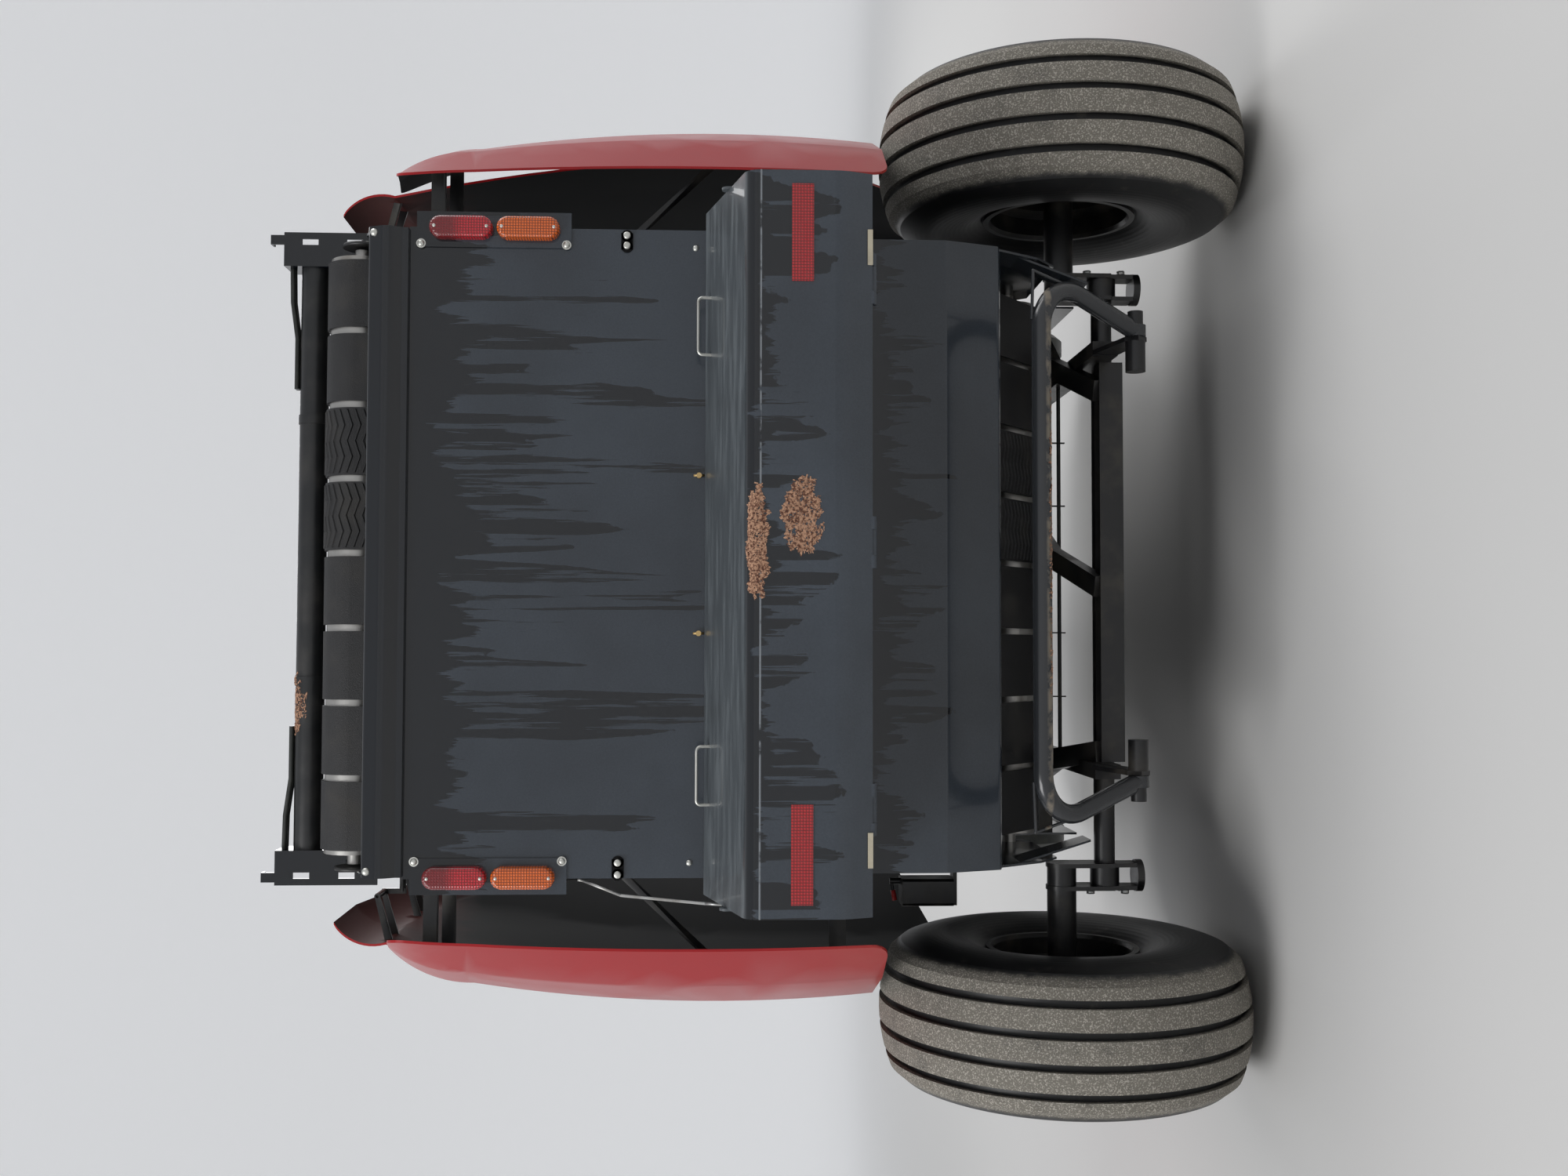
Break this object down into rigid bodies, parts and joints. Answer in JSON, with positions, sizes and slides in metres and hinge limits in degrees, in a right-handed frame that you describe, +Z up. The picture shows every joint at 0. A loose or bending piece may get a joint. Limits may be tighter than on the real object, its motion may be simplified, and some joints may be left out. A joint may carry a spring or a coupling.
{
  "type": "round baler",
  "caption": "Belt-type round baler with drawbar, tined pickup, bale chamber, lifting tailgate with net-wrap box, kicker bar and side shields.",
  "frame": {"origin": "on the floor under the middle of the whole machine's box", "axes": "+Y forward to the hitch, +X to the machine's right, +Z up"},
  "size_m": [2.888, 4.494, 2.748],
  "materials": {
    "sheet": "gloss",
    "frame_paint": "satin",
    "shield_paint": "gloss",
    "tyre": "dusty",
    "rim_paint": "satin",
    "belt": "ribbed",
    "roller_steel": "worn",
    "bright_steel": "worn",
    "chrome": "polished",
    "zinc": "plated",
    "red_lens": "gloss",
    "amber_lens": "gloss",
    "black_plastic": "matte",
    "cast": "painted",
    "hose_rubber": "satin"
  },
  "bodies": {
    "frame": {"chamber_sides": "sheet", "base_frame": "frame_paint", "crossmembers": "frame_paint", "axle": "frame_paint", "front_rollers": "roller_steel", "front_belts": "belt", "front_panel": "sheet", "feed_floor": "roller_steel", "drawbar": "frame_paint", "hitch_clevis": "cast", "gearbox": "cast", "left_sprockets": "bright_steel", "left_chains": "bright_steel", "shield_carriers": "frame_paint", "shaft_cradle": "frame_paint", "oiler": "frame_paint"},
    "wheel_left": {"tyre_left": "tyre", "rim_left": "rim_paint"},
    "wheel_right": {"tyre_right": "tyre", "rim_right": "rim_paint"},
    "tailgate": {"gate_sides": "sheet", "gate_rollers": "roller_steel", "gate_belts": "belt", "gate_rear_sheet": "sheet", "gate_top_rail": "sheet", "gate_lower_panel": "sheet", "gate_top_tube": "frame_paint", "gate_hoses": "hose_rubber", "net_box": "sheet", "net_feed_rollers": "roller_steel", "lamp_plates": "sheet", "red_lamps": "red_lens", "amber_lamps": "amber_lens", "rear_shield_left": "shield_paint", "rear_shield_right": "shield_paint"},
    "cover": {"net_cover": "sheet", "cover_handles": "zinc", "reflectors": "red_lens"},
    "kicker": {"kicker_bar": "frame_paint"},
    "barrel_left": {"lift_barrel_left": "frame_paint"},
    "barrel_right": {"lift_barrel_right": "frame_paint"},
    "rod_left": {"lift_rod_left": "chrome"},
    "rod_right": {"lift_rod_right": "chrome"},
    "rotor": {"feed_rotor": "roller_steel"},
    "pickup": {"pickup_frame": "shield_paint", "pickup_bands": "bright_steel"},
    "reel": {"pickup_reel": "bright_steel"},
    "guard": {"wind_guard": "frame_paint"},
    "gauge_left": {"gauge_wheel_left": "tyre"},
    "gauge_right": {"gauge_wheel_right": "tyre"},
    "jack": {"jack_tube": "frame_paint"},
    "leg": {"jack_leg": "bright_steel"},
    "shaft_rear": {"driveline_rear": "black_plastic"},
    "shaft_front": {"driveline_front": "black_plastic"},
    "yoke": {"driveline_yoke": "bright_steel"},
    "shield_left": {"front_shield_left": "shield_paint"},
    "shield_right": {"front_shield_right": "shield_paint"}
  },
  "joints": [
    {"name": "wheel_left_turn", "type": "hinge", "parent": "frame", "child": "wheel_left", "pos_m": [-1.235, -1.323, 0.53], "axis": [1, 0, 0], "continuous": true},
    {"name": "wheel_right_turn", "type": "hinge", "parent": "frame", "child": "wheel_right", "pos_m": [1.235, -1.323, 0.53], "axis": [1, 0, 0], "continuous": true},
    {"name": "tailgate_lift", "type": "hinge", "parent": "frame", "child": "tailgate", "pos_m": [0.044, -1.023, 2.47], "axis": [-1, 0, 0], "range_deg": [0, 55]},
    {"name": "cover_swing", "type": "hinge", "parent": "tailgate", "child": "cover", "pos_m": [0.044, -2.203, 1.17], "axis": [1, 0, 0], "range_deg": [0, 80]},
    {"name": "kicker_swing", "type": "hinge", "parent": "frame", "child": "kicker", "pos_m": [0.044, -1.803, 0.435], "axis": [1, 0, 0], "range_deg": [0, 45]},
    {"name": "cylinder_left_swing", "type": "hinge", "parent": "frame", "child": "barrel_left", "pos_m": [-0.836, -0.973, 0.9], "axis": [1, 0, 0], "range_deg": [-0.5, 5]},
    {"name": "cylinder_left_stroke", "type": "slide", "parent": "barrel_left", "child": "rod_left", "axis": [0, -0.2747, 0.9615], "range_m": [0, 0.36]},
    {"name": "cylinder_right_swing", "type": "hinge", "parent": "frame", "child": "barrel_right", "pos_m": [0.924, -0.973, 0.9], "axis": [1, 0, 0], "range_deg": [-0.5, 5]},
    {"name": "cylinder_right_stroke", "type": "slide", "parent": "barrel_right", "child": "rod_right", "axis": [0, -0.2747, 0.9615], "range_m": [0, 0.36]},
    {"name": "rotor_turn", "type": "hinge", "parent": "frame", "child": "rotor", "pos_m": [0.044, 0.077, 0.64], "axis": [1, 0, 0], "continuous": true},
    {"name": "pickup_lower", "type": "hinge", "parent": "frame", "child": "pickup", "pos_m": [0.044, 0.077, 0.64], "axis": [-1, 0, 0], "range_deg": [0, 15]},
    {"name": "reel_turn", "type": "hinge", "parent": "pickup", "child": "reel", "pos_m": [0.044, 0.557, 0.47], "axis": [1, 0, 0], "continuous": true},
    {"name": "guard_lift", "type": "hinge", "parent": "pickup", "child": "guard", "pos_m": [0.044, 0.177, 0.83], "axis": [1, 0, 0], "range_deg": [0, 8]},
    {"name": "gauge_left_turn", "type": "hinge", "parent": "pickup", "child": "gauge_left", "pos_m": [-0.941, 0.457, 0.32], "axis": [1, 0, 0], "continuous": true},
    {"name": "gauge_right_turn", "type": "hinge", "parent": "pickup", "child": "gauge_right", "pos_m": [1.029, 0.457, 0.32], "axis": [1, 0, 0], "continuous": true},
    {"name": "jack_fold", "type": "hinge", "parent": "frame", "child": "jack", "pos_m": [-0.096, 1.377, 0.64], "axis": [1, 0, 0], "range_deg": [0, 90]},
    {"name": "leg_slide", "type": "slide", "parent": "jack", "child": "leg", "axis": [0, 0, 1], "range_m": [0, 0.28]},
    {"name": "shaft_raise", "type": "hinge", "parent": "frame", "child": "shaft_rear", "pos_m": [0.044, 0.607, 1.13], "axis": [1, 0, 0], "range_deg": [0, 20]},
    {"name": "shaft_extend", "type": "slide", "parent": "shaft_rear", "child": "shaft_front", "axis": [0, 0.9781, -0.2079], "range_m": [-0.15, 0.2]},
    {"name": "yoke_turn", "type": "hinge", "parent": "shaft_front", "child": "yoke", "pos_m": [0.044, 1.95684, 0.84308], "axis": [0, 0.9781, -0.2079], "continuous": true},
    {"name": "shield_left_open", "type": "hinge", "parent": "frame", "child": "shield_left", "pos_m": [-0.956, -0.7055, 2.56], "axis": [0, 1, 0], "range_deg": [0, 65]},
    {"name": "shield_right_open", "type": "hinge", "parent": "frame", "child": "shield_right", "pos_m": [1.044, -0.7055, 2.56], "axis": [0, -1, 0], "range_deg": [0, 65]}
  ],
  "couplings": [
    {"joint": "cylinder_left_swing", "follows": "tailgate_lift", "ratio": 0.06273},
    {"joint": "cylinder_left_stroke", "follows": "tailgate_lift", "m_per_rad": 0.36034},
    {"joint": "cylinder_right_swing", "follows": "tailgate_lift", "ratio": 0.06273},
    {"joint": "cylinder_right_stroke", "follows": "tailgate_lift", "m_per_rad": 0.36034}
  ]
}
